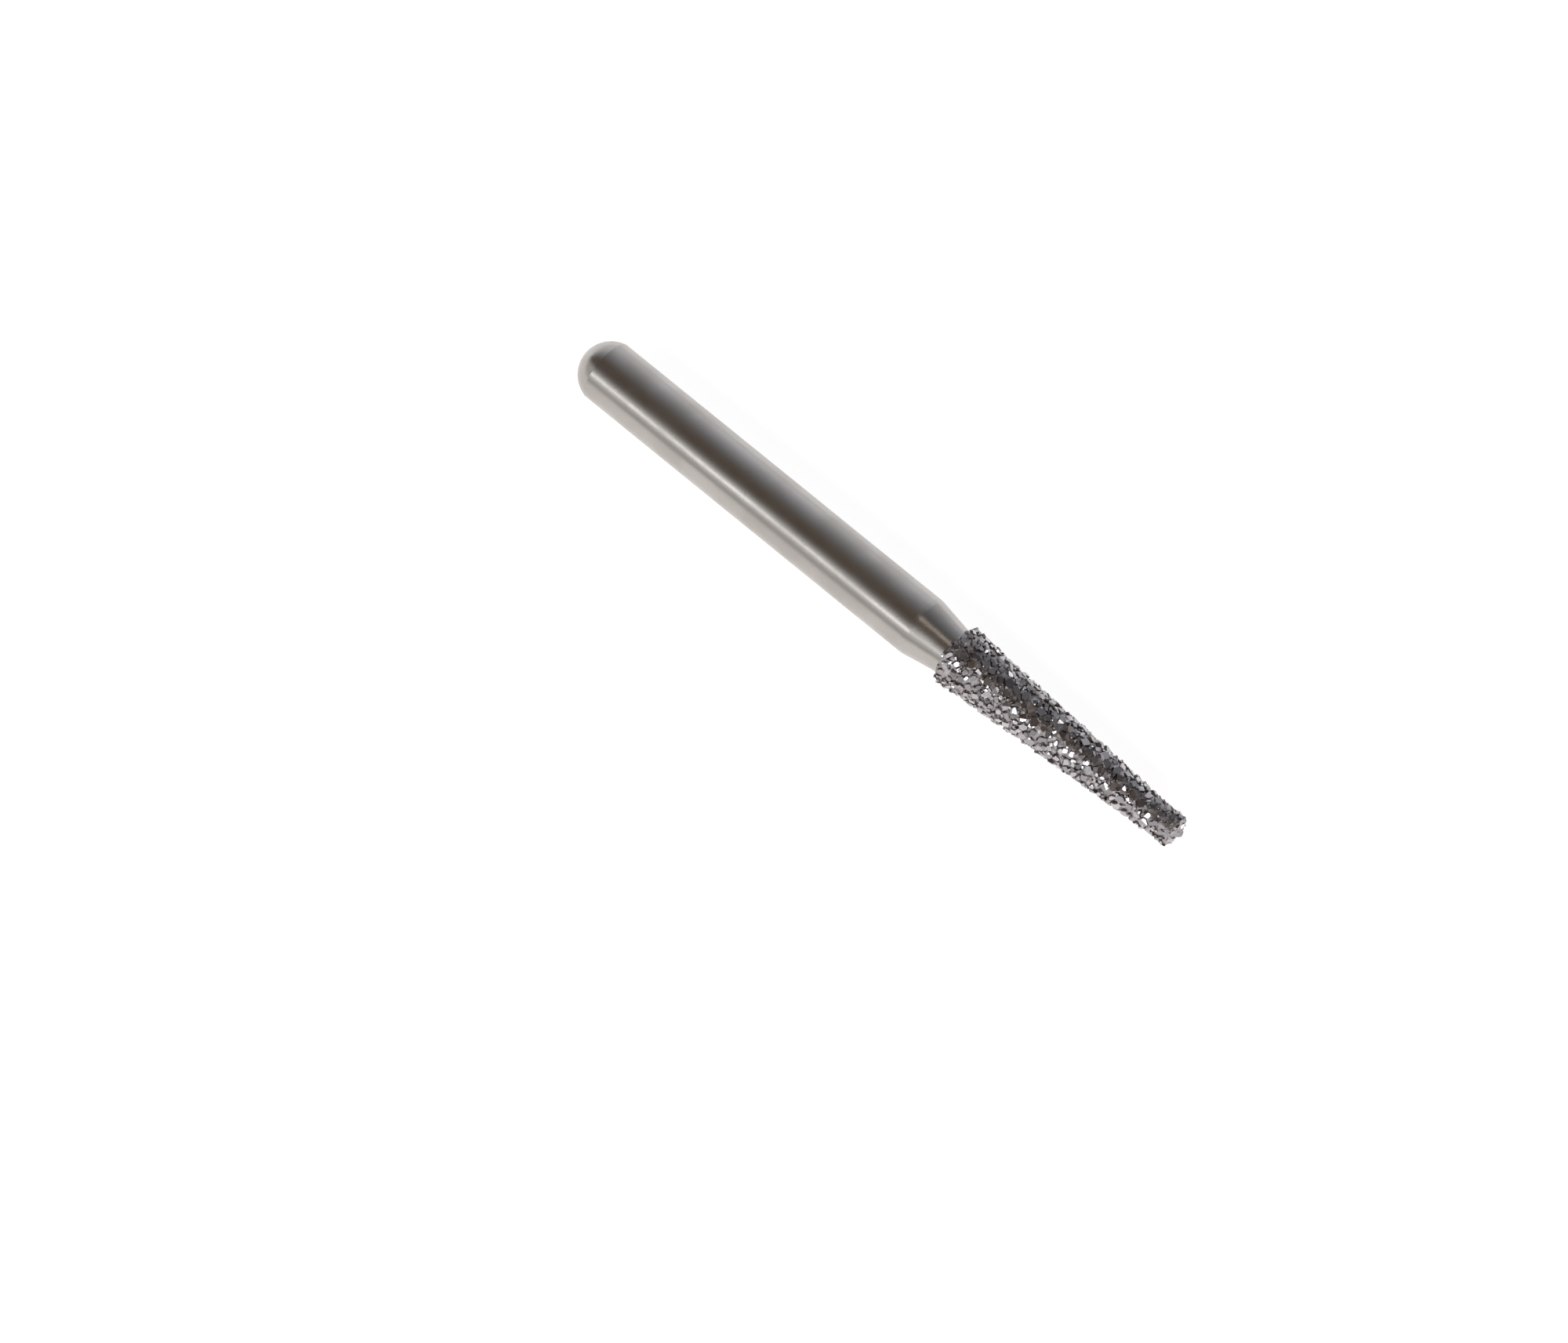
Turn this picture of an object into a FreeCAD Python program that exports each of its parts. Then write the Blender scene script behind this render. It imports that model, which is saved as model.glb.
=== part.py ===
import FreeCAD, Part
import itertools
import math
import os
import random
import Sketcher
from FreeCAD import Vector

# A friction-grip dental bur with a flat-ended tapered diamond head.
# The bur lies along X: the domed tail points to -X and the working tip to +X.
# The origin is on the axis, halfway along the straight shank that a chuck grips.

# Driving dimensions in millimetres: name, value, meaning.
SIZES = [
    ("ShankDia", 1.600, "diameter of the straight shank"),
    ("ShankLength", 10.28, "length of the straight shank between its dome and its neck"),
    ("DomeHeight", 0.645, "how far the domed tail stands out past the straight shank"),
    ("NeckLength", 1.07, "length of the tapered neck between shank and head"),
    ("NeckEndDia", 1.22, "diameter where the neck ends and the head's core begins"),
    ("NeckBlend", 0.60, "radius that softens the edge between shank and neck"),
    ("CoreLength", 6.88, "length of the bare steel core inside the head"),
    ("CoreTipDia", 0.44, "diameter of the bare core at its flat tip"),
    ("GrainSize", 0.222, "widest diamond grain, measured along the plating"),
    ("GrainSpace", 0.032, "least plating left between two neighbouring grains"),
    ("RowSway", 0.13, "how far a row of grains wanders to either side of its ring"),
    ("SwayRise", 1.2, "length at either end of the head over which that wander grows"),
    ("GrainDepth", 0.065, "how deep a grain sits in the plating"),
    ("GrainHeight", 0.09, "how far the tallest grain stands out of the plating"),
    ("PlatingFloor", 0.045, "plating left between the deepest grain and the core"),
    ("PlatingStart", 0.02, "thickness of the plating's edge at the neck"),
    ("PlatingRise", 0.10, "length over which that edge rises to the full thickness"),
    ("RimSwell", 0.02, "extra plating on the rim at the rear of the head"),
    ("RimLength", 0.35, "length over which that extra plating fades"),
    ("TipSwell", 0.045, "extra plating round the edge of the flat tip"),
    ("TipSwellLength", 0.20, "length over which it fades on either side of the edge"),
]

# The bounds of each random share that makes no two grains alike.
SEED = 41
SIZE_SHARE = (0.7, 1.0)
REACH_SHARE = (0.72, 1.0)
DEPTH_SHARE = (0.85, 1.0)
HEIGHT_SHARE = (0.6, 1.0)
TOP_TILT_SHARE = (0.7, 1.0)
TOP_SIZE_SHARE = (0.5, 0.92)

# How far a grain strays from its place, as a share of the space beside it.
STRAY_SHARE = 0.25

# The plated layer's rear edge is a ring of this many points. A facet of the layer faces
# away from the axis, or forwards, by at least this cosine.
REAR_RING_POINTS = 24
LEAST_COSINE = 0.15

# A row's wander is two waves: how many there are round the head, and how far each
# turns, in radians, over a millimetre of the head's length.
SWAY_WAVES = ((3, 1.1), (5, -0.8))


def make_sheet(doc):
    """The spreadsheet that holds the driving dimensions."""
    sheet = doc.addObject("Spreadsheet::Sheet", "Sizes")
    for row, (name, value, meaning) in enumerate(SIZES, start=1):
        sheet.set(f"A{row}", name)
        sheet.set(f"B{row}", str(value))
        sheet.set(f"C{row}", meaning)
        sheet.setAlias(f"B{row}", name)
    doc.recompute()
    return sheet


def drive(sketch, name, constraint, expression):
    """Add one dimension to a sketch and tie it to the sheet."""
    index = sketch.addConstraint(constraint)
    sketch.renameConstraint(index, name)
    sketch.setExpression(f"Constraints.{name}", expression)


def draw_blank_outline(sketch, sheet):
    """Half the blank's outline: dome, shank, neck, core, flat tip and the axis."""
    neck = sheet.ShankLength / 2
    head = neck + sheet.NeckLength
    tip = head + sheet.CoreLength
    ring = -neck
    tail = ring - sheet.DomeHeight
    high, mid, low = sheet.ShankDia / 2, sheet.NeckEndDia / 2, sheet.CoreTipDia / 2
    dome_radius = (high**2 + sheet.DomeHeight**2) / (2 * sheet.DomeHeight)
    centre = Vector(tail + dome_radius, 0, 0)
    circle = Part.Circle(centre, Vector(0, 0, 1), dome_radius)
    dome_start = math.atan2(high, ring - centre.x)
    dome = sketch.addGeometry(Part.ArcOfCircle(circle, dome_start, math.pi))
    corners = [(ring, high), (neck, high), (head, mid), (tip, low), (tip, 0), (tail, 0)]
    points = [Vector(x, y, 0) for x, y in corners]
    shank, cone, core, face, axis = [
        sketch.addGeometry(Part.LineSegment(start, end))
        for start, end in zip(points, points[1:])
    ]
    start, end, middle = 1, 2, 3
    horizontal_axis, vertical_axis = -1, -2
    joins = [
        (dome, start, shank, start),
        (shank, end, cone, start),
        (cone, end, core, start),
        (core, end, face, start),
        (face, end, axis, start),
        (axis, end, dome, end),
    ]
    for join in joins:
        sketch.addConstraint(Sketcher.Constraint("Coincident", *join))
    for line, point in [(dome, middle), (dome, end), (face, end)]:
        sketch.addConstraint(
            Sketcher.Constraint("PointOnObject", line, point, horizontal_axis)
        )
    sketch.addConstraint(Sketcher.Constraint("Vertical", face))
    sketch.addConstraint(
        Sketcher.Constraint("Symmetric", shank, start, shank, end, vertical_axis)
    )
    lengths = [
        ("ShankLength", shank, start, shank, end),
        ("NeckLength", cone, start, cone, end),
        ("CoreLength", core, start, core, end),
        ("DomeHeight", dome, end, dome, start),
    ]
    for size, *ends in lengths:
        constraint = Sketcher.Constraint("DistanceX", *ends, getattr(sheet, size))
        drive(sketch, size, constraint, f"Sizes.{size}")
    widths = [("ShankDia", shank, start), ("NeckEndDia", cone, end), ("CoreTipDia", core, end)]
    for size, line, point in widths:
        ends = horizontal_axis, start, line, point
        constraint = Sketcher.Constraint("DistanceY", *ends, getattr(sheet, size) / 2)
        drive(sketch, size, constraint, f"Sizes.{size} / 2")


def make_blank(doc):
    """The steel blank, turned in one piece from the domed tail to the core's tip."""
    body = doc.addObject("PartDesign::Body", "SteelBlank")
    body.Label = "steel_blank"
    plane = next(
        feature for feature in body.Origin.OriginFeatures if feature.Role == "XY_Plane"
    )
    sketch = body.newObject("Sketcher::SketchObject", "BlankOutline")
    sketch.AttachmentSupport = [(plane, "")]
    sketch.MapMode = "FlatFace"
    draw_blank_outline(sketch, doc.Sizes)
    turned = body.newObject("PartDesign::Revolution", "TurnedBlank")
    turned.Profile = sketch
    turned.ReferenceAxis = (sketch, ["H_Axis"])
    turned.Angle = 360
    doc.recompute()
    blend = body.newObject("PartDesign::Fillet", "NeckBlend")
    blend.Base = (turned, [edge_between_shank_and_neck(turned.Shape, doc.Sizes)])
    blend.setExpression("Radius", "Sizes.NeckBlend")
    body.Tip = blend
    doc.recompute()
    return body


def edge_between_shank_and_neck(shape, sheet):
    """The name of the circular edge where the straight shank meets the neck."""
    place = Vector(sheet.ShankLength / 2, 0, 0)
    size = sheet.ShankDia / 2
    tolerance = Part.Precision.confusion()
    for number, edge in enumerate(shape.Edges, start=1):
        if edge.Degenerated or not isinstance(edge.Curve, Part.Circle):
            continue
        same_place = edge.Curve.Center.isEqual(place, tolerance)
        if same_place and math.isclose(edge.Curve.Radius, size, abs_tol=tolerance):
            return f"Edge{number}"
    raise RuntimeError("the blank has no edge between its shank and its neck")


class Plating:
    """The outside of the plated layer on the head, followed from the neck to the tip's
    middle. A place on it is a distance along that outline and a turn about the axis."""

    def __init__(self, sheet):
        self.rear_radius = sheet.NeckEndDia / 2
        self.tip_radius = sheet.CoreTipDia / 2
        self.core_length = sheet.CoreLength
        self.start = sheet.PlatingStart
        self.rise = sheet.PlatingRise
        self.full = sheet.GrainDepth + sheet.PlatingFloor
        self.rim_swell = sheet.RimSwell
        self.rim_length = sheet.RimLength
        self.tip_swell = sheet.TipSwell
        self.tip_swell_length = sheet.TipSwellLength
        self.row_sway = sheet.RowSway
        self.sway_rise = sheet.SwayRise
        taper = self.rear_radius - self.tip_radius
        self.lean = math.atan2(taper, self.core_length)
        self.flank = math.hypot(taper, self.core_length)
        self.corner = (math.pi / 2 - self.lean) * (self.full + self.tip_swell)
        self.length = self.flank + self.corner + self.tip_radius

    def core_place(self, along):
        """The nearest point of the core's outline, and the way that it faces."""
        if along < self.flank:
            share = along / self.flank
            radius = self.rear_radius + share * (self.tip_radius - self.rear_radius)
            return share * self.core_length, radius, self.lean
        if along < self.flank + self.corner:
            share = (along - self.flank) / self.corner
            facing = self.lean + share * (math.pi / 2 - self.lean)
            return self.core_length, self.tip_radius, facing
        return self.core_length, self.length - along, math.pi / 2

    def thickness(self, along):
        """Plating grows thicker at the rim and round the edge of the tip."""
        layer = self.full + self.rim_swell * fade(along, self.rim_length)
        past_corner = abs(along - self.flank - self.corner / 2) - self.corner / 2
        layer += self.tip_swell * fade(max(past_corner, 0), self.tip_swell_length)
        left = 1 - min(along / self.rise, 1)
        return self.start + (layer - self.start) * math.sqrt(1 - left * left)

    def point(self, along, turn, lift=0.0):
        """A point on the plating, or lifted above it, with x counted from the neck."""
        x, radius, facing = self.core_place(along)
        out = self.thickness(along) + lift
        radius += out * math.cos(facing)
        x += out * math.sin(facing)
        return Vector(x, radius * math.cos(turn), radius * math.sin(turn))

    def swayed_point(self, along, turn, lift=0.0):
        """The point to which the wander of the rows carries a place on the plating. It
        is less where the head is thinner, so that the rows slant alike all along."""
        from_end = min(along, self.length - along)
        share = min(from_end / self.sway_rise, 1) * self.radius(along) / self.rear_radius
        waves = [math.sin(count * turn + twist * along) for count, twist in SWAY_WAVES]
        sway = self.row_sway * share * sum(waves) / len(waves)
        return self.point(along + sway, turn, lift)

    def radius(self, along):
        return self.point(along, 0).y

    def outward(self, along, turn):
        return self.swayed_point(along, turn, 1) - self.swayed_point(along, turn)


def fade(distance, length):
    """One at no distance, falling smoothly to nothing at the length."""
    if distance >= length:
        return 0.0
    return (1 + math.cos(math.pi * distance / length)) / 2


class Grain:
    """One diamond crystal: four corners on the plating, a point buried under them and a
    smaller tilted top. The first two corners are the ones nearer to the neck."""

    def __init__(self, sheet, draw, corners, middle, outward):
        self.corners = corners
        self.root = middle - outward * sheet.GrainDepth * draw.uniform(*DEPTH_SHARE)
        height = sheet.GrainHeight * draw.uniform(*HEIGHT_SHARE)
        self.top = [
            middle
            + (corner - middle) * draw.uniform(*TOP_SIZE_SHARE)
            + outward * height * draw.uniform(*TOP_TILT_SHARE)
            for corner in corners
        ]

    def exposed(self):
        """The facets that stand out of the plating, two to each side and two on top."""
        following = self.corners[1:] + self.corners[:1]
        top_following = self.top[1:] + self.top[:1]
        facets = []
        for low, next_low, high, next_high in zip(
            self.corners, following, self.top, top_following
        ):
            facets += [(low, next_low, next_high), (low, next_high, high)]
        first, second, third, fourth = self.top
        return facets + [(first, second, third), (first, third, fourth)]

    def pocket(self):
        """The four facets of the pocket in the plating."""
        following = self.corners[1:] + self.corners[:1]
        return [(one, other, self.root) for one, other in zip(self.corners, following)]

    def solid(self):
        buried = [(other, one, root) for one, other, root in self.pocket()]
        return solid_of(self.exposed() + buried)


def grain_in_row(plating, sheet, draw, size, along, turn):
    """A grain whose four corners lie about one place on the plating."""
    half = size / 2
    radius = plating.radius(along)
    corners = []
    for forward, sideways in [(-1, -1), (-1, 1), (1, 1), (1, -1)]:
        forward *= half * draw.uniform(*REACH_SHARE)
        sideways *= half * draw.uniform(*REACH_SHARE)
        place = (along + forward, turn + sideways / radius)
        corners.append(plating.swayed_point(*place))
    middle = plating.swayed_point(along, turn)
    return Grain(sheet, draw, corners, middle, plating.outward(along, turn))


def grain_at_tip(plating, sheet, draw):
    """The grain in the middle of the flat tip."""
    half = sheet.GrainSize / 2
    corners = []
    for number in range(4):
        reach = half * draw.uniform(*REACH_SHARE)
        corners.append(plating.point(plating.length - reach, number * math.pi / 2))
    middle = plating.point(plating.length, 0)
    return Grain(sheet, draw, corners, middle, plating.outward(plating.length, 0))


def row_of_grains(plating, sheet, draw, row_along):
    """Grains of mixed sizes side by side round the head, spread to close the ring."""
    radius = plating.radius(row_along)
    around = math.tau * radius
    sizes = []
    filled = 0.0
    while filled + sheet.GrainSize + sheet.GrainSpace <= around:
        sizes.append(sheet.GrainSize * draw.uniform(*SIZE_SHARE))
        filled += sizes[-1] + sheet.GrainSpace
    spread = around / filled
    wander = sheet.GrainSpace * STRAY_SHARE
    side = draw.uniform(0, around)
    row = []
    for size in sizes:
        slot = (size + sheet.GrainSpace) * spread
        place = side + slot / 2 + draw.uniform(-wander, wander)
        free = wander + (sheet.GrainSize - size) / 2
        along = row_along + draw.uniform(-free, free)
        row.append(grain_in_row(plating, sheet, draw, size, along, place / radius))
        side += slot
    return row


def rows_of_grains(plating, sheet, draw):
    """Rows of grains from the neck to the tip, where one last grain closes the coat."""
    pitch = sheet.GrainSize + sheet.GrainSpace
    first = max(sheet.PlatingRise, sheet.GrainSize / 2) + sheet.GrainSpace
    count = int((plating.length - first) / pitch)
    step = (plating.length - first) / count
    places = [first + number * step for number in range(count)]
    return [row_of_grains(plating, sheet, draw, place) for place in places]


def rear_side_of(row):
    return [corner for grain in row for corner in grain.corners[:2]]


def front_side_of(row):
    return [corner for grain in row for corner in reversed(grain.corners[2:])]


def fill_row(row):
    """The facets between neighbouring grains of one row."""
    facets = []
    for grain, neighbour in zip(row, row[1:] + row[:1]):
        _, rear, front, _ = grain.corners
        next_rear, _, _, next_front = neighbour.corners
        facets += [(rear, next_rear, next_front), (rear, next_front, front)]
    return facets


def fill_between(rear_ring, front_ring):
    """The facets between two closed rings of points, as the set with the shortest edges.
    Each facet has two points on one ring and one on the other, and faces outwards."""
    closest = min(
        itertools.product(range(len(rear_ring)), range(len(front_ring))),
        key=lambda pair: rear_ring[pair[0]].distanceToPoint(front_ring[pair[1]]),
    )
    rear, front = [
        ring[first:] + ring[: first + 1]
        for ring, first in zip((rear_ring, front_ring), closest)
    ]
    best = {(0, 0): (0.0, None, None)}
    for i in range(len(rear)):
        for j in range(len(front)):
            steps = []
            if i > 0 and (i - 1, j) in best:
                steps.append(((i - 1, j), (rear[i - 1], rear[i], front[j])))
            if j > 0 and (i, j - 1) in best:
                steps.append(((i, j - 1), (rear[i], front[j], front[j - 1])))
            edge = rear[i].distanceToPoint(front[j])
            found = [
                (best[before][0] + edge, before, facet)
                for before, facet in steps
                if faces_outwards(facet)
            ]
            if found:
                best[i, j] = min(found, key=lambda option: option[0])
    place = (len(rear) - 1, len(front) - 1)
    if place not in best:
        raise RuntimeError("two rows of grains leave no room for the plating between")
    facets = []
    while place != (0, 0):
        _, place, facet = best[place]
        facets.append(facet)
    return facets


def faces_outwards(facet):
    """True where a facet looks away from the axis, or forwards past the tip."""
    first, second, third = facet
    normal = (second - first).cross(third - first)
    middle = (first + second + third) / 3
    away = Vector(0, middle.y, middle.z)
    if normal.Length == 0:
        return False
    return max(normal.dot(away) / away.Length, normal.x) > LEAST_COSINE * normal.Length


def solid_of(facets):
    """A closed solid with flat facets."""
    faces = [Part.Face(Part.makePolygon([*facet, facet[0]])) for facet in facets]
    solid = Part.Solid(Part.makeShell(faces))
    if solid.Volume <= 0:
        raise RuntimeError("facets don't close round a solid")
    return solid


def plating_facets(plating, rows, tip_grain):
    """The outside of the plating, with a pocket under each grain and a flat rear end."""
    turns = [math.tau * k / REAR_RING_POINTS for k in range(REAR_RING_POINTS)]
    rear_end = [plating.point(0, turn) for turn in turns]
    rings = [rear_end]
    for row in rows:
        rings += [rear_side_of(row), front_side_of(row)]
    rings.append(tip_grain.corners)
    facets = [tuple(reversed(rear_end))]
    for rear_ring, front_ring in zip(rings[::2], rings[1::2]):
        facets += fill_between(rear_ring, front_ring)
    for row in rows:
        facets += fill_row(row)
    for grain in [grain for row in rows for grain in row] + [tip_grain]:
        facets += grain.pocket()
    return facets


def seat_on_neck(feature):
    """Put a piece modelled from the neck's end at its place on the blank."""
    feature.setExpression("Placement.Base.x", "Sizes.ShankLength / 2 + Sizes.NeckLength")


def make_coat(doc, blank):
    """The nickel plating and the diamond grains that it holds on the steel core."""
    sheet = doc.Sizes
    draw = random.Random(SEED)
    plating = Plating(sheet)
    rows = rows_of_grains(plating, sheet, draw)
    tip_grain = grain_at_tip(plating, sheet, draw)

    outside = doc.addObject("Part::Feature", "PlatingOutside")
    outside.Shape = solid_of(plating_facets(plating, rows, tip_grain))
    seat_on_neck(outside)
    bond = doc.addObject("Part::Cut", "NickelBond")
    bond.Label = "nickel_bond"
    bond.Base = outside
    bond.Tool = blank
    bond.Refine = False

    grains = doc.addObject("Part::Feature", "DiamondGrains")
    grains.Label = "diamond_grains"
    every_grain = [grain for row in rows for grain in row] + [tip_grain]
    grains.Shape = Part.makeCompound([grain.solid() for grain in every_grain])
    seat_on_neck(grains)
    doc.recompute()
    return bond, grains


def check(doc, pieces):
    """Stop where the document holds an error or a piece has no sound shape."""
    for item in doc.Objects:
        if "Invalid" in item.State or "Error" in item.State:
            raise RuntimeError(f"{item.Name} failed: {item.State}")
    for piece in pieces:
        if piece.Shape.isNull() or not piece.Shape.isValid():
            raise RuntimeError(f"{piece.Label} has no valid shape")


def write_parts(pieces):
    os.makedirs("parts", exist_ok=True)
    for piece in pieces:
        piece.Shape.exportStep(f"parts/{piece.Label}.step")
        solids = len(piece.Shape.Solids)
        print(f"{piece.Label}: {solids} solids, {piece.Shape.Volume:.3f} mm3")


doc = FreeCAD.newDocument("DentalBur")
make_sheet(doc)
blank = make_blank(doc)
bond, grains = make_coat(doc, blank)
doc.recompute()
check(doc, [blank, bond, grains])
write_parts([blank, bond, grains])
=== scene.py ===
"""A friction-grip diamond bur, dressed for a close view.

The turned steel blank keeps its CAD solid and gets a ground finish. The plating and the
diamond grains on the head are rebuilt in finer pieces on the places that the CAD model
gives them. A small studio stands round the bur.
"""
import math
import random

import bmesh
import bpy
from bpy.props import FloatProperty, FloatVectorProperty, IntProperty, PointerProperty
from mathutils import Matrix, Vector, noise
from mathutils.kdtree import KDTree


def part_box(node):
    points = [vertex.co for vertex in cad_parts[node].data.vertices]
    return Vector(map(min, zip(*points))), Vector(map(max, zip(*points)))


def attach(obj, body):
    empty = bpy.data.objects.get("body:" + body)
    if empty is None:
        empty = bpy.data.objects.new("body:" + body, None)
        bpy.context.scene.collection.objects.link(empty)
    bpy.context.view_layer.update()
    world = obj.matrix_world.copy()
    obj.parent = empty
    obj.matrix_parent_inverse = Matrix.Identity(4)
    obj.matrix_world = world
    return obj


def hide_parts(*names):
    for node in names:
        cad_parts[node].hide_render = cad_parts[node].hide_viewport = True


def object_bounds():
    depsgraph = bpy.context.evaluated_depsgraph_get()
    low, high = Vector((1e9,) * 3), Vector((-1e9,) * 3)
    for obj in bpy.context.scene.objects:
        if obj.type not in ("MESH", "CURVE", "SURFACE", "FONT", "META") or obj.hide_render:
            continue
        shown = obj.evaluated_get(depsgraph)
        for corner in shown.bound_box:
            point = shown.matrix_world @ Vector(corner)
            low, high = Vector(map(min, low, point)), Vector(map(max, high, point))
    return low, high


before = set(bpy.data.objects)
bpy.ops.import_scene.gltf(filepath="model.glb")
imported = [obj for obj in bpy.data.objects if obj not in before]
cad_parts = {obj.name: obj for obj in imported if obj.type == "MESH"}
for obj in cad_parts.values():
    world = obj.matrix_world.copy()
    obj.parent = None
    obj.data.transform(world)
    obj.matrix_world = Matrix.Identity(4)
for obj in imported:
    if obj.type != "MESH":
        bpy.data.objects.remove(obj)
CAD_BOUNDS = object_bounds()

bl_info = {
    "name": "Diamond Bur Dressing",
    "version": (1, 0, 0),
    "blender": (4, 5, 0),
    "location": "View3D > Sidebar > Bur",
    "description": "Dresses a friction-grip diamond bur and sets its studio",
    "category": "Object",
}

MM = 0.001
BLANK, BOND, GRAINS = "steel_blank", "nickel_bond", "diamond_grains"
SAME_CORNER = 1e-8  # corners of a CAD mesh that lie closer than this are one

# At the dome's pole, in millimetres: the ball's normal takes over between the first two
# distances from it, and the ball is measured at corners this far from the axis.
POLE_NEAR, POLE_FAR, OFF_AXIS = 0.03, 0.06, 0.05

# The plating: stations along the CAD outline, rings on the flat tip, and the share of
# the rear edge's radius at which the coat starts, hidden against the neck.
STATIONS, TIP_RINGS, REAR_START = 60, 12, 0.9
# Its swellings: waves to each lump, with their increment, lacunarity and octaves, how
# much the waves count, and how far all of it sinks.
WAVES, WAVE_FRACTAL, WAVE_SHARE, SINK = 2.3, (0.8, 2.0, 3), 0.25, 0.35
NICKEL_SHEEN = 1.7  # how much lighter the plating's clouds are than the plating
PIT_DEPTH = 0.012 * MM  # how deep the pits in the plating are
SKIN_DEPTH = 0.001 * MM  # how rough the faces of the crystals are

# A crystal starts as a block that reaches 1 each way. Its top is narrowed, its corners
# are cut off where x + y + z is this much, and chips this far from its middle.
TOP_SHARE, CORNER_CUT, CHIP_REACH, CHIPS = 0.8, (2.0, 2.5), (0.78, 0.95), 2
# How far a crystal leans towards the tip and to each side: the mean and the spread.
LEAN_ALONG, LEAN_ASIDE = (0.3, 0.19), (0, 0.07)
# A crystal's half height and its width, as shares of those of its CAD grain.
HALF_HEIGHT_SHARE, WIDTH_SHARE = 0.36, (0.85, 1.05)
# Shares of a small crystal's mean size and of each of its sides, and how far it stands.
FINE_SHARE, FINE_SIDE_SHARE, FINE_STAND = (0.6, 1.3), (0.8, 1.15), 0.35
# The number of forms that the crystals are drawn from, and the seeds of the draws.
GRAIN_KINDS, FINE_KINDS = 28, 12
GRAIN_SEED, FINE_SEED = 5, 11
MOST_TRIES = 50  # for each small crystal, before there is no room for it

# What the bur mirrors, in degrees about its axis: 0 is level in front of it, 90 is
# overhead and 180 is level behind it. Each stop has its angle, tint and strength.
WINDOW, CEILING, WALL = (1.0, 0.985, 0.975), (0.105, 0.08, 0.062), (0.84, 0.85, 0.89)
BANDS = (
    (0, WINDOW, 0.34), (6, WINDOW, 0.39), (10, WINDOW, 0.65), (34, WINDOW, 0.65),
    (42, WINDOW, 0.6), (50, WINDOW, 0.23),
    (57, CEILING, 1.3), (66, CEILING, 1.04), (92, CEILING, 1.23),
    (110, WALL, 0.26), (122, WALL, 0.39), (134, WALL, 0.53), (148, WALL, 0.74),
    (163, WALL, 1.01), (180, WALL, 1.2),
)
TOWARDS_TIP = 0.5  # how much darker the front is on the tip's side

BLACK, WHITE = (0, 0, 0, 1), (1, 1, 1, 1)
# The floor: its radius in metres, its own colour and its glow to the camera.
FLOOR_RADIUS = 1.5
FLOOR_COLOUR, FLOOR_SEEN = (0.7, 0.7, 0.69, 1), (0.82, 0.825, 0.83, 1)
# The painted bounce light, a glow of the floor that only metal's mirror rays see: its
# tints on either side of the bur, and its strength near the bur and far from it.
PAINTED_BOUNCE_FRONT, PAINTED_BOUNCE_BACK = (1, 0.955, 0.935, 1), (0.975, 0.98, 1.0, 1)
PAINTED_BOUNCE_NEAR, PAINTED_BOUNCE_FAR = 0.81, 0.1

# The lamps, in metres: how far out from the axis the long ones stand, how far along it,
# and the length and height of each.
LAMP_DISTANCE = 0.5
STRIP_ALONG, STRIP_SIZE = -0.2, (0.42, 0.06)
TIP_ALONG, TIP_SIZE = 0.48, (0.72, 0.26)
CEILING_PLACE, CEILING_SIZE = Vector((0.016, 0, 0.4)), (0.06, 0.09)
CEILING_COLOUR = (1, 0.92, 0.8)


class Shade:
    """A shader socket. Python's arithmetic on it adds Math nodes to its tree."""

    def __init__(self, tree, socket=None):
        self.tree = tree
        self.socket = socket

    def add(self, kind, settings=None, inputs=None, output=0):
        """Add one node: its settings first, then the values or links of its sockets."""
        node = self.tree.nodes.new(kind)
        for name, value in (settings or {}).items():
            if name == "stops":
                set_stops(node.color_ramp, value)
            else:
                setattr(node, name, value)
        for name, value in (inputs or {}).items():
            self.join(node.inputs[name], value)
        return Shade(self.tree, node.outputs[output])

    def join(self, socket, value):
        """Feed a socket from another one, or set its value."""
        if isinstance(value, Shade):
            self.tree.links.new(value.socket, socket)
        else:
            socket.default_value = value

    def math(self, operation, *values):
        """Add a Math node on numbers and sockets."""
        inputs = dict(enumerate(values))
        return self.add("ShaderNodeMath", {"operation": operation}, inputs)

    def __add__(self, other):
        return self.math("ADD", self, other)

    def __radd__(self, other):
        return self.math("ADD", other, self)

    def __sub__(self, other):
        return self.math("SUBTRACT", self, other)

    def __rsub__(self, other):
        return self.math("SUBTRACT", other, self)

    def __mul__(self, other):
        return self.math("MULTIPLY", self, other)

    def __rmul__(self, other):
        return self.math("MULTIPLY", other, self)

    def __truediv__(self, other):
        return self.math("DIVIDE", self, other)

    def __rtruediv__(self, other):
        return self.math("DIVIDE", other, self)

    def sharpen(self, low, high):
        """Nothing under low, one over high and a smooth rise between them."""
        settings = {"interpolation_type": "SMOOTHSTEP"}
        inputs = {"Value": self, "From Min": low, "From Max": high}
        return self.add("ShaderNodeMapRange", settings, inputs)

    def between(self, first, second):
        """A number that goes from the first to the second as this goes from 0 to 1."""
        return first + self * (second - first)

    def blend(self, first, second):
        """The same for two colours."""
        inputs = {0: self, 6: first, 7: second}
        return self.add("ShaderNodeMix", {"data_type": "RGBA"}, inputs, output=2)


def set_stops(ramp, stops):
    """Give a colour ramp its stops, each a place and a colour."""
    while len(ramp.elements) > 1:
        ramp.elements.remove(ramp.elements[-1])
    for number, (place, colour) in enumerate(stops):
        stop = ramp.elements[0] if number == 0 else ramp.elements.new(place)
        stop.position = place
        stop.color = (*colour, 1)


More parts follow.
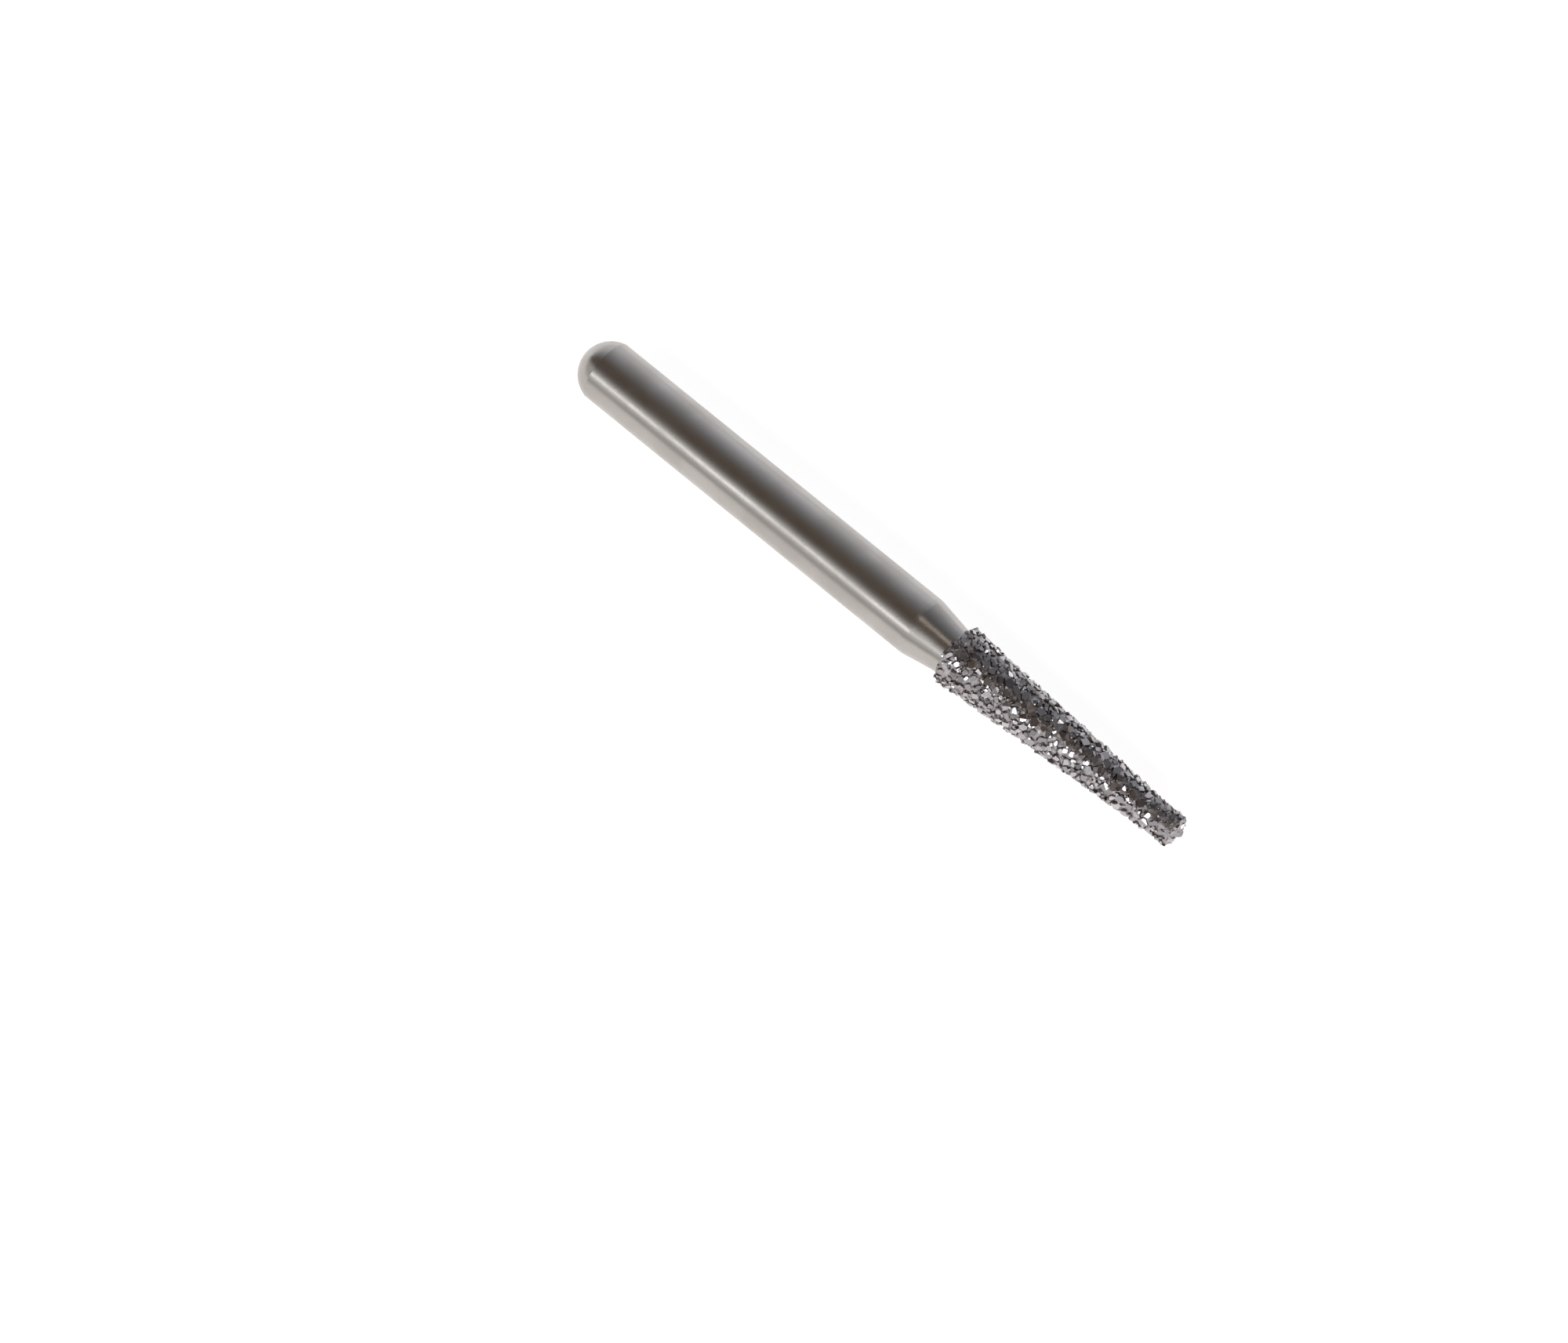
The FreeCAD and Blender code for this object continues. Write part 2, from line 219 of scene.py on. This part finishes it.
class Finish(Shade):
    """A material with sockets fed by expressions on the piece's own coordinates, which
    are in millimetres."""

    def __init__(self, name, **constants):
        self.material = bpy.data.materials.new(name)
        self.material.use_nodes = True
        super().__init__(self.material.node_tree)
        self.shader = self.tree.nodes["Principled BSDF"]
        for socket, value in constants.items():
            self.set(socket.replace("_", " "), value)
        place = self.add("ShaderNodeTexCoord", output="Object")
        scale = {0: place, "Scale": 1 / MM}
        self.place = self.add("ShaderNodeVectorMath", {"operation": "SCALE"}, scale)
        split = self.add("ShaderNodeSeparateXYZ", inputs={0: self.place})
        outputs = split.socket.node.outputs
        self.x, self.y = [Shade(self.tree, outputs[axis]) for axis in "XY"]

    def set(self, socket, value):
        """Feed one of the shader's sockets, or set its value."""
        self.join(self.shader.inputs[socket], value)

    def noise(self, scale, detail=2.0, stretch=(1, 1, 1)):
        """Noise with a number of lumps for each millimetre, stretched along an axis."""
        inputs = {0: self.place, 1: stretch}
        operation = {"operation": "MULTIPLY"}
        stretched = self.add("ShaderNodeVectorMath", operation, inputs)
        inputs = {"Vector": stretched, "Scale": scale, "Detail": detail}
        return self.add("ShaderNodeTexNoise", inputs=inputs)

    def bump(self, height, depth, normal=None):
        """Raise the surface by a height that goes from 0 to 1 over the given depth."""
        inputs = {"Height": height, "Distance": depth, "Strength": 1.0}
        if normal is not None:
            inputs["Normal"] = normal
        self.set("Normal", self.add("ShaderNodeBump", inputs=inputs))


class SteelSettings(bpy.types.PropertyGroup):
    """The ground finish of the blank."""

    colour: FloatVectorProperty(
        name="Steel",
        description="Colour of the clean ground steel",
        subtype="COLOR",
        default=(0.46, 0.442, 0.423),
    )
    stain: FloatVectorProperty(
        name="Stain",
        description="Colour of the faint clouds that handling leaves on the steel",
        subtype="COLOR",
        default=(0.385, 0.365, 0.342),
    )
    gloss_low: FloatProperty(
        name="Smoothest",
        description="Roughness of the best polished places",
        subtype="FACTOR",
        min=0,
        max=1,
        default=0.26,
    )
    gloss_high: FloatProperty(
        name="Roughest",
        description="Roughness of the most worn places",
        subtype="FACTOR",
        min=0,
        max=1,
        default=0.35,
    )
    groove_depth: FloatProperty(
        name="Groove depth",
        description="Depth of the fine rings that grinding leaves",
        subtype="DISTANCE",
        default=0.0006 * MM,
    )


class CoatSettings(bpy.types.PropertyGroup):
    """The plated diamond coat on the head."""

    plating: FloatVectorProperty(
        name="Plating",
        description="Colour of the nickel between the grains",
        subtype="COLOR",
        default=(0.31, 0.292, 0.3),
    )
    dark_grain: FloatVectorProperty(
        name="Dark grain",
        description="Colour of the darkest crystals",
        subtype="COLOR",
        default=(0.32, 0.306, 0.312),
    )
    light_grain: FloatVectorProperty(
        name="Light grain",
        description="Colour of the lightest crystals",
        subtype="COLOR",
        default=(0.56, 0.54, 0.553),
    )
    lump_height: FloatProperty(
        name="Lump height",
        description="How far the plating swells over what lies under it",
        subtype="DISTANCE",
        default=0.03 * MM,
    )
    lump_pitch: FloatProperty(
        name="Lump spacing",
        description="Distance between neighbouring swellings of the plating",
        subtype="DISTANCE",
        default=0.15 * MM,
    )
    around: IntProperty(
        name="Steps around",
        description="Faces of the plating in one ring round the head",
        default=168,
    )
    fines: IntProperty(
        name="Small grains",
        description="Number of small crystals that fill the room between large ones",
        default=900,
    )
    fine_size: FloatProperty(
        name="Small grain size",
        description="Width of an average small crystal",
        subtype="DISTANCE",
        default=0.10 * MM,
    )


class StudioSettings(bpy.types.PropertyGroup):
    """Camera and lights."""

    elevation: FloatProperty(
        name="Camera elevation",
        description="Angle of the camera above the floor",
        subtype="ANGLE",
        default=math.radians(64),
    )
    azimuth: FloatProperty(
        name="Camera azimuth",
        description="Turn of the camera about the upright axis",
        subtype="ANGLE",
        default=math.radians(42.2),
    )
    distance: FloatProperty(
        name="Camera distance",
        description="From the camera to the bur",
        subtype="DISTANCE",
        default=350 * MM,
    )
    field: FloatProperty(
        name="Field width",
        description="Width of the picture at the bur",
        subtype="DISTANCE",
        default=37.74 * MM,
    )
    aim_right: FloatProperty(
        name="Aim to the right",
        description="From the bur's origin to the middle of the picture",
        subtype="DISTANCE",
        default=0.500 * MM,
    )
    aim_up: FloatProperty(
        name="Aim upwards",
        description="From the bur's origin to the middle of the picture",
        subtype="DISTANCE",
        default=-4.171 * MM,
    )
    strip_angle: FloatProperty(
        name="Strip light angle",
        description="How high the strip light stands about the bur's axis",
        subtype="ANGLE",
        default=math.radians(29),
    )
    strip_light: FloatProperty(
        name="Strip light",
        description="Brightness of the strip that the shank mirrors",
        default=2.9,
    )
    tip_angle: FloatProperty(
        name="Tip light angle",
        description="How high the tip's light stands about the bur's axis",
        subtype="ANGLE",
        default=math.radians(37),
    )
    tip_light: FloatProperty(
        name="Tip light",
        description="Brightness of the light that makes the grains glint",
        default=3.3,
    )
    ceiling_light: FloatProperty(
        name="Ceiling light",
        description="Brightness of the panel that the neck mirrors",
        default=1.2,
    )


class BurSettings(bpy.types.PropertyGroup):
    """All the settings of the bur's dressing."""

    steel: PointerProperty(
        name="Steel",
        description="The ground finish of the blank",
        type=SteelSettings,
    )
    coat: PointerProperty(
        name="Coat",
        description="The plated diamond coat on the head",
        type=CoatSettings,
    )
    studio: PointerProperty(
        name="Studio",
        description="Camera and lights",
        type=StudioSettings,
    )


def settings():
    """The bur's settings, which the scene holds."""
    return bpy.context.scene.bur


def loose_parts(mesh):
    """The separate solids of a mesh, each as the list of its corners."""
    bm = bmesh.new()
    bm.from_mesh(mesh)
    bmesh.ops.remove_doubles(bm, verts=bm.verts, dist=SAME_CORNER)
    seen = set()
    parts = []
    for start in bm.verts:
        if start in seen:
            continue
        part, waiting = [], [start]
        seen.add(start)
        while waiting:
            vertex = waiting.pop()
            part.append(vertex.co.copy())
            for edge in vertex.link_edges:
                other = edge.other_vert(vertex)
                if other not in seen:
                    seen.add(other)
                    waiting.append(other)
        parts.append(part)
    bm.free()
    return parts


def from_axis(point):
    """The part of a vector that points away from the bur's axis."""
    return Vector((0, point.y, point.z))


def add_piece(name, bm, material):
    """Turn a bmesh into a finished piece that rides with the bur."""
    mesh = bpy.data.meshes.new(name)
    bm.to_mesh(mesh)
    bm.free()
    piece = bpy.data.objects.new(name, mesh)
    bpy.context.collection.objects.link(piece)
    mesh.materials.append(material)
    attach(piece, "root")
    return piece


def ball_of_dome():
    """The pole of the shank's rounded end and its ball's radius, in millimetres."""
    corners = [vertex.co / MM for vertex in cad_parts[BLANK].data.vertices]
    pole = min(co.x for co in corners)
    off_axis = [co for co in corners if from_axis(co).length > OFF_AXIS]
    ring = min(off_axis, key=lambda co: co.x)
    depth = ring.x - pole
    return pole, (from_axis(ring).length ** 2 + depth ** 2) / (2 * depth)


def dome_normal(finish):
    """The mesh's own normal, and round the pole of the dome the normal of its ball."""
    pole, radius = ball_of_dome()
    inputs = {0: finish.place, 1: (pole + radius, 0, 0)}
    spoke = finish.add("ShaderNodeVectorMath", {"operation": "SUBTRACT"}, inputs)
    spaces = {"vector_type": "NORMAL", "convert_from": "OBJECT", "convert_to": "WORLD"}
    ball = finish.add("ShaderNodeVectorTransform", spaces, {0: spoke})
    mesh = finish.add("ShaderNodeNewGeometry", output="Normal")
    near = (pole - finish.x).sharpen(-POLE_FAR, -POLE_NEAR)
    inputs = {0: near, 4: mesh, 5: ball}
    mixed = finish.add("ShaderNodeMix", {"data_type": "VECTOR"}, inputs, output=1)
    return finish.add("ShaderNodeVectorMath", {"operation": "NORMALIZE"}, {0: mixed})


def steel_finish():
    """Centreless-ground steel: fine rings, faint clouds, stray scratches."""
    look = settings().steel
    finish = Finish("ground_steel", Metallic=1.0)
    clouds = finish.noise(0.9, detail=4.0).sharpen(0.38, 0.66)
    rings = finish.noise(34.0, detail=3.0, stretch=(1, 0.02, 0.02))
    broken = finish.noise(3.0, stretch=(0.5, 1, 1)).sharpen(0.35, 0.65)
    along = finish.noise(5.0, detail=1.0, stretch=(0.12, 3.0, 3.0)).sharpen(0.66, 0.72)
    scratch = finish.noise(2.2, stretch=(0.3, 1, 1)).sharpen(0.5, 0.6) * along
    stain = clouds.between(0.0, 0.55) + scratch * 0.3
    finish.set("Base Color", stain.blend((*look.colour, 1), (*look.stain, 1)))
    worn = clouds * 0.5 + rings * broken * 0.4 + scratch * 0.5
    finish.set("Roughness", worn.between(look.gloss_low, look.gloss_high))
    waves = finish.noise(7.0, stretch=(1, 0.35, 0.35))
    height = rings * broken - scratch * 0.8 + waves * 2.5
    finish.bump(height, look.groove_depth, dome_normal(finish))
    return finish.material


class BUR_OT_finish_blank(bpy.types.Operator):
    """Give the turned blank its ground steel finish"""

    bl_idname = "bur.finish_blank"
    bl_label = "Finish the steel blank"

    def execute(self, context):
        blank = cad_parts[BLANK]
        if not blank.material_slots:
            raise RuntimeError("the steel blank has no material slot to finish")
        steel = steel_finish()
        for slot in blank.material_slots:
            slot.material = steel
        return {"FINISHED"}


def plating_finish():
    """Electroplated nickel: dark, satin and pitted."""
    look = settings().coat
    finish = Finish("dark_nickel", Metallic=1.0)
    clouds = finish.noise(3.0, detail=3.0).sharpen(0.35, 0.7)
    pits = finish.noise(26.0, detail=3.0)
    light = tuple(NICKEL_SHEEN * part for part in look.plating)
    finish.set("Base Color", clouds.blend((*look.plating, 1), (*light, 1)))
    finish.set("Roughness", (pits * 0.6 + clouds * 0.4).between(0.3, 0.55))
    finish.bump(pits, PIT_DEPTH)
    return finish.material


def outline_of_bond():
    """The two ends of the CAD plating and its radius at even steps between them."""
    low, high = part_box(BOND)
    reach = (high[0] - low[0]) / STATIONS
    corners = [vertex.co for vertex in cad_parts[BOND].data.vertices]
    radii = []
    for number in range(STATIONS + 1):
        x = low[0] + number * reach
        near = [from_axis(co).length for co in corners if abs(co.x - x) <= reach]
        if not near:
            raise RuntimeError(f"the CAD plating has no corner near station {number}")
        radii.append(max(near))
    return low[0], high[0], radii


def radius_at(radii, share):
    """The outline's radius at a share of the way from the neck to the tip."""
    spot = share * (len(radii) - 1)
    index = min(int(spot), len(radii) - 2)
    return radii[index] + (spot - index) * (radii[index + 1] - radii[index])


class BUR_OT_plate_head(bpy.types.Operator):
    """Build the lumpy nickel plating that holds the grains"""

    bl_idname = "bur.plate_head"
    bl_label = "Plate the head"

    def execute(self, context):
        look = settings().coat
        start, end, radii = outline_of_bond()
        rows = round((end - start) / (math.tau * max(radii) / look.around))
        profile = [(start, radii[0] * REAR_START)]
        for number in range(rows + 1):
            share = number / rows
            profile.append((start + share * (end - start), radius_at(radii, share)))
        rim = profile[-1][1]
        profile += [(end, rim * (1 - ring / TIP_RINGS)) for ring in range(1, TIP_RINGS)]
        bm = bmesh.new()
        verts = [bm.verts.new((x, radius, 0)) for x, radius in profile]
        edges = [bm.edges.new(pair) for pair in zip(verts, verts[1:])]
        bmesh.ops.spin(
            bm, geom=verts + edges, cent=(0, 0, 0), axis=(1, 0, 0), dvec=(0, 0, 0),
            angle=math.tau, steps=look.around, use_merge=True, use_duplicate=False,
        )
        bmesh.ops.holes_fill(bm, edges=bm.edges, sides=0)
        bmesh.ops.recalc_face_normals(bm, faces=bm.faces)
        bm.normal_update()
        for vertex in bm.verts:
            spot = vertex.co / look.lump_pitch
            near, _ = noise.voronoi(spot)
            lump = 1 - min(near[0], 1)
            wave = noise.fractal(spot * WAVES, *WAVE_FRACTAL)
            swell = lump + WAVE_SHARE * wave - SINK
            vertex.co += vertex.normal * look.lump_height * swell
        for face in bm.faces:
            face.smooth = True
        piece = add_piece("plated_coat", bm, plating_finish())
        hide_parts(BOND)
        return {"FINISHED"}


def grain_finish():
    """Diamond: each crystal has its own tone, and its foot takes the darker plating
    colour, partly the plating round it and partly painted shade between the crystals.
    """
    look = settings().coat
    finish = Finish("diamond_grit", Metallic=1.0)
    tone = finish.add("ShaderNodeAttribute", {"attribute_name": "tone"}, output="Fac")
    rise = finish.add("ShaderNodeAttribute", {"attribute_name": "rise"}, output="Fac")
    skin = finish.noise(14.0, detail=3.0)
    shade = (tone * 0.85 + skin * 0.2).sharpen(0.1, 1.0)
    clean = shade.blend((*look.dark_grain, 1), (*look.light_grain, 1))
    # painted shade: each crystal's lower part takes the darker plating colour, partly the
    # plating round its foot and partly shade between the crystals
    finish.set("Base Color", rise.sharpen(-0.2, 0.8).blend((*look.plating, 1), clean))
    finish.set("Roughness", (skin * 0.5 + tone * 0.5).between(0.24, 0.1))
    finish.bump(skin, SKIN_DEPTH)
    return finish.material


def cut_crystal(draw):
    """A unit crystal: a block with leaning sides, its corners cut off and a few chips
    out of it."""
    bm = bmesh.new()
    bmesh.ops.create_cube(bm, size=2.0)
    upper = [vertex for vertex in bm.verts if vertex.co.z > 0]
    bmesh.ops.scale(bm, verts=upper, vec=(TOP_SHARE, TOP_SHARE, 1))
    planes = [
        (Vector((x, y, z)), draw.uniform(*CORNER_CUT) / math.sqrt(3))
        for x in (-1, 1) for y in (-1, 1) for z in (-1, 1)
    ]
    for _ in range(CHIPS):
        away = Vector((draw.gauss(0, 1), draw.gauss(0, 1), draw.gauss(0, 1)))
        planes.append((away, draw.uniform(*CHIP_REACH)))
    for away, reach in planes:
        away = away.normalized()
        geometry = bm.verts[:] + bm.edges[:] + bm.faces[:]
        bmesh.ops.bisect_plane(
            bm, geom=geometry, plane_co=away * reach, plane_no=away, clear_outer=True
        )
        rim = [edge for edge in bm.edges if edge.is_boundary]
        bmesh.ops.holes_fill(bm, edges=rim, sides=0)
    bmesh.ops.recalc_face_normals(bm, faces=bm.faces)
    mesh = bpy.data.meshes.new("crystal")
    bm.to_mesh(mesh)
    bm.free()
    return mesh


def lean(draw, outward):
    """A direction near the given one that leans towards the tip and strays a little."""
    stray = (draw.gauss(*LEAN_ALONG), draw.gauss(*LEAN_ASIDE), draw.gauss(*LEAN_ASIDE))
    return (outward + Vector(stray)).normalized()


def facing_matrix(place, outward, spin, size):
    """Turn, scale and place a unit crystal whose +Z stands on the coat."""
    turned = outward.to_track_quat("Z", "X").to_matrix().to_4x4()
    turned @= Matrix.Rotation(spin, 4, "Z")
    return Matrix.Translation(place) @ turned @ Matrix.Diagonal((*size, 1))


class Crystals:
    """A bmesh that takes many crystals. Each corner has its crystal's tone and its own
    height in the crystal, from -1 at the foot to 1 at the top."""

    def __init__(self, draw, kinds):
        self.draw = draw
        self.bm = bmesh.new()
        self.tone = self.bm.verts.layers.float.new("tone")
        self.rise = self.bm.verts.layers.float.new("rise")
        self.kinds = [cut_crystal(draw) for _ in range(kinds)]

    def place(self, matrix, tone):
        """Add a crystal of any kind, placed by the matrix."""
        first = len(self.bm.verts)
        self.bm.from_mesh(self.draw.choice(self.kinds))
        self.bm.verts.ensure_lookup_table()
        fresh = self.bm.verts[first:]
        for vertex in fresh:
            vertex[self.tone] = tone
            vertex[self.rise] = vertex.co.z
        bmesh.ops.transform(self.bm, matrix=matrix, verts=fresh)


def seat_of(corners, tip):
    """The foot of a CAD grain, the way it stands out, and its height and half width."""
    middle = sum(corners, Vector()) / len(corners)
    if middle.x > tip:
        foot = min(corners, key=lambda co: co.x)
    else:
        foot = min(corners, key=lambda co: from_axis(co).length)
    outward = (middle - foot).normalized()
    heights = [(co - foot).dot(outward) for co in corners]
    wide = [((co - foot) - outward * h).length for co, h in zip(corners, heights)]
    return foot, outward, max(heights), max(wide) / math.sqrt(2)


class BUR_OT_set_grains(bpy.types.Operator):
    """Set a cut crystal in the place of each diamond grain"""

    bl_idname = "bur.set_grains"
    bl_label = "Set the diamond grains"

    def execute(self, context):
        draw = random.Random(GRAIN_SEED)
        crystals = Crystals(draw, GRAIN_KINDS)
        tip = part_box(BLANK)[1][0]
        grains = loose_parts(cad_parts[GRAINS].data)
        if not grains:
            raise RuntimeError("the CAD model has no diamond grains")
        for corners in grains:
            foot, outward, height, half_width = seat_of(corners, tip)
            half_height = HALF_HEIGHT_SHARE * height
            place = foot + outward * (height - half_height)
            size = [half_width * draw.uniform(*WIDTH_SHARE) for _ in range(2)]
            spin = draw.uniform(0, math.tau)
            facing = lean(draw, outward)
            matrix = facing_matrix(place, facing, spin, (*size, half_height))
            crystals.place(matrix, draw.random())
        piece = add_piece("cut_grains", crystals.bm, grain_finish())
        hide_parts(GRAINS)
        return {"FINISHED"}


def middles_of_grains():
    """A tree of the middles of the CAD grains, to ask for the nearest one."""
    parts = loose_parts(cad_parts[GRAINS].data)
    tree = KDTree(len(parts))
    for number, corners in enumerate(parts):
        tree.insert(sum(corners, Vector()) / len(corners), number)
    tree.balance()
    return tree


class BUR_OT_scatter_fines(bpy.types.Operator):
    """Scatter small crystals between the large ones"""

    bl_idname = "bur.scatter_fines"
    bl_label = "Scatter the small grains"

    def execute(self, context):
        look = settings().coat
        draw = random.Random(FINE_SEED)
        crystals = Crystals(draw, FINE_KINDS)
        start, end, radii = outline_of_bond()
        large = middles_of_grains()
        placed = tries = 0
        while placed < look.fines:
            tries += 1
            if tries > MOST_TRIES * look.fines:
                raise RuntimeError("the head has no room for so many small grains")
            share = draw.random()
            radius = radius_at(radii, share)
            turn = draw.uniform(0, math.tau)
            outward = Vector((0, math.cos(turn), math.sin(turn)))
            size = look.fine_size * draw.uniform(*FINE_SHARE) / 2
            place = outward * (radius + size * FINE_STAND)
            place.x = start + share * (end - start)
            _, _, gap = large.find(place)
            if gap < look.fine_size or draw.random() * max(radii) > radius:
                continue
            placed += 1
            sizes = [size * draw.uniform(*FINE_SIDE_SHARE) for _ in range(3)]
            spin = draw.uniform(0, math.tau)
            matrix = facing_matrix(place, lean(draw, outward), spin, sizes)
            crystals.place(matrix, draw.random())
        piece = add_piece("small_grains", crystals.bm, grain_finish())
        return {"FINISHED"}


def view_direction(azimuth, elevation):
    """From the bur to a camera, with its right and upward directions."""
    level = math.cos(elevation)
    towards = Vector(
        (math.sin(azimuth) * level, -math.cos(azimuth) * level, math.sin(elevation))
    )
    right = Vector((math.cos(azimuth), math.sin(azimuth), 0))
    return towards, right, towards.cross(right)


def add_camera():
    """A camera that frames the bur as the photograph does."""
    look = settings().studio
    towards, right, up = view_direction(look.azimuth, look.elevation)
    data = bpy.data.cameras.new("photo_camera")
    data.sensor_width = 36
    data.lens = data.sensor_width * look.distance / look.field
    data.clip_start = 0.01
    data.clip_end = 10
    camera = bpy.data.objects.new("photo_camera", data)
    bpy.context.collection.objects.link(camera)
    turned = Matrix((right, up, towards)).transposed().to_4x4()
    aim = right * look.aim_right + up * look.aim_up
    camera.matrix_world = Matrix.Translation(aim + towards * look.distance) @ turned
    bpy.context.scene.camera = camera


def light_world():
    """A studio seen as bands round the bur's axis: a window in front of it, a dark
    ceiling above it and a wall behind it that grows lighter downwards."""
    world = bpy.data.worlds.new("studio")
    world.use_nodes = True
    bpy.context.scene.world = world
    shade = Shade(world.node_tree)
    way = shade.add("ShaderNodeTexCoord", output="Generated")
    split = shade.add("ShaderNodeSeparateXYZ", inputs={0: way}).socket.node.outputs
    along, ahead, up = [Shade(world.node_tree, socket) for socket in split]
    angle = shade.math("ARCTAN2", up, ahead * -1)
    stops = [
        (degrees / 180, [strength * part for part in tint])
        for degrees, tint, strength in BANDS
    ]
    room = shade.add("ShaderNodeValToRGB", {"stops": stops}, {0: angle / math.pi})
    towards_tip = along.sharpen(-0.2, 0.05) * ahead.sharpen(-0.05, 0.15)
    room = (towards_tip * TOWARDS_TIP).blend(room, BLACK)
    path = shade.add("ShaderNodeLightPath")
    seen = Shade(world.node_tree, path.socket.node.outputs["Is Camera Ray"])
    background = world.node_tree.nodes["Background"]
    shade.join(background.inputs["Color"], seen.blend(room, WHITE))


def around_bur(along, angle):
    """A place in front of the bur's axis, raised by an angle about it."""
    level = -LAMP_DISTANCE * math.cos(angle)
    return Vector((along, level, LAMP_DISTANCE * math.sin(angle)))


def add_lamp(name, place, size, radiance, colour=(1, 1, 1)):
    """A rectangular lamp of a given brightness that faces the bur's axis."""
    data = bpy.data.lights.new(name, "AREA")
    data.shape = "RECTANGLE"
    data.size, data.size_y = size
    data.energy = radiance * math.pi * size[0] * size[1]
    data.color = colour
    lamp = bpy.data.objects.new(name, data)
    bpy.context.collection.objects.link(lamp)
    turned = (-from_axis(place)).to_track_quat("-Z", "Y").to_matrix().to_4x4()
    lamp.matrix_world = Matrix.Translation(place) @ turned


def floor_finish():
    """A pale floor, white to the camera. To metal's mirror rays it glows with a painted
    bounce light that is strong under the bur and fades away from it, rosy in front of the
    bur and cool behind."""
    finish = Finish("pale_floor", Roughness=0.9)
    finish.set("Specular IOR Level", 0.0)
    finish.set("Base Color", FLOOR_COLOUR)
    path = finish.add("ShaderNodeLightPath").socket.node.outputs
    camera, glossy, clear = [
        Shade(finish.tree, path[f"Is {kind} Ray"])
        for kind in ("Camera", "Glossy", "Transmission")
    ]
    away = finish.math("ABSOLUTE", finish.y)
    # painted bounce light: the floor glows only to mirror rays, strongest under the bur
    painted_bounce = away.sharpen(8, 45).between(PAINTED_BOUNCE_NEAR, PAINTED_BOUNCE_FAR)
    tint = finish.y.sharpen(-6, 6).blend(PAINTED_BOUNCE_FRONT, PAINTED_BOUNCE_BACK)
    mirrored = ((glossy + clear) * painted_bounce).blend(BLACK, tint)
    finish.set("Emission Color", camera.blend(mirrored, FLOOR_SEEN))
    finish.set("Emission Strength", 1.0)
    return finish.material


def add_floor():
    """A round floor that the bur touches."""
    low, _ = CAD_BOUNDS
    bm = bmesh.new()
    bmesh.ops.create_circle(bm, cap_ends=True, segments=96, radius=FLOOR_RADIUS)
    bmesh.ops.translate(bm, verts=bm.verts, vec=(0, 0, low[2]))
    mesh = bpy.data.meshes.new("floor")
    bm.to_mesh(mesh)
    bm.free()
    floor = bpy.data.objects.new("floor", mesh)
    bpy.context.collection.objects.link(floor)
    mesh.materials.append(floor_finish())


class BUR_OT_set_stage(bpy.types.Operator):
    """Set the floor, the lights and the camera"""

    bl_idname = "bur.set_stage"
    bl_label = "Set the stage"

    def execute(self, context):
        look = settings().studio
        add_floor()
        light_world()
        place = around_bur(STRIP_ALONG, look.strip_angle)
        add_lamp("strip_softbox", place, STRIP_SIZE, look.strip_light)
        place = around_bur(TIP_ALONG, look.tip_angle)
        add_lamp("tip_softbox", place, TIP_SIZE, look.tip_light)
        light = look.ceiling_light
        add_lamp("ceiling_panel", CEILING_PLACE, CEILING_SIZE, light, CEILING_COLOUR)
        add_camera()
        context.scene.view_settings.view_transform = "Standard"
        return {"FINISHED"}


class BUR_PT_dressing(bpy.types.Panel):
    """The bur's tab in the 3D view's sidebar"""

    bl_label = "Diamond bur"
    bl_idname = "BUR_PT_dressing"
    bl_space_type = "VIEW_3D"
    bl_region_type = "UI"
    bl_category = "Bur"

    def draw(self, context):
        for operator in OPERATORS:
            self.layout.operator(operator.bl_idname)
        bur = context.scene.bur
        for group in (bur.steel, bur.coat, bur.studio):
            box = self.layout.box()
            for name in group.__annotations__:
                box.prop(group, name)


OPERATORS = (
    BUR_OT_finish_blank,
    BUR_OT_plate_head,
    BUR_OT_set_grains,
    BUR_OT_scatter_fines,
    BUR_OT_set_stage,
)
GROUPS = (SteelSettings, CoatSettings, StudioSettings, BurSettings)


def register():
    for item in (*GROUPS, *OPERATORS, BUR_PT_dressing):
        bpy.utils.register_class(item)
    bpy.types.Scene.bur = PointerProperty(
        name="Diamond bur",
        description="Settings of the bur's dressing",
        type=BurSettings,
    )


def unregister():
    del bpy.types.Scene.bur
    for item in reversed((*GROUPS, *OPERATORS, BUR_PT_dressing)):
        bpy.utils.unregister_class(item)


def main():
    register()
    bpy.ops.bur.finish_blank()
    bpy.ops.bur.plate_head()
    bpy.ops.bur.set_grains()
    bpy.ops.bur.scatter_fines()
    bpy.ops.bur.set_stage()


if __name__ == "__main__":
    main()
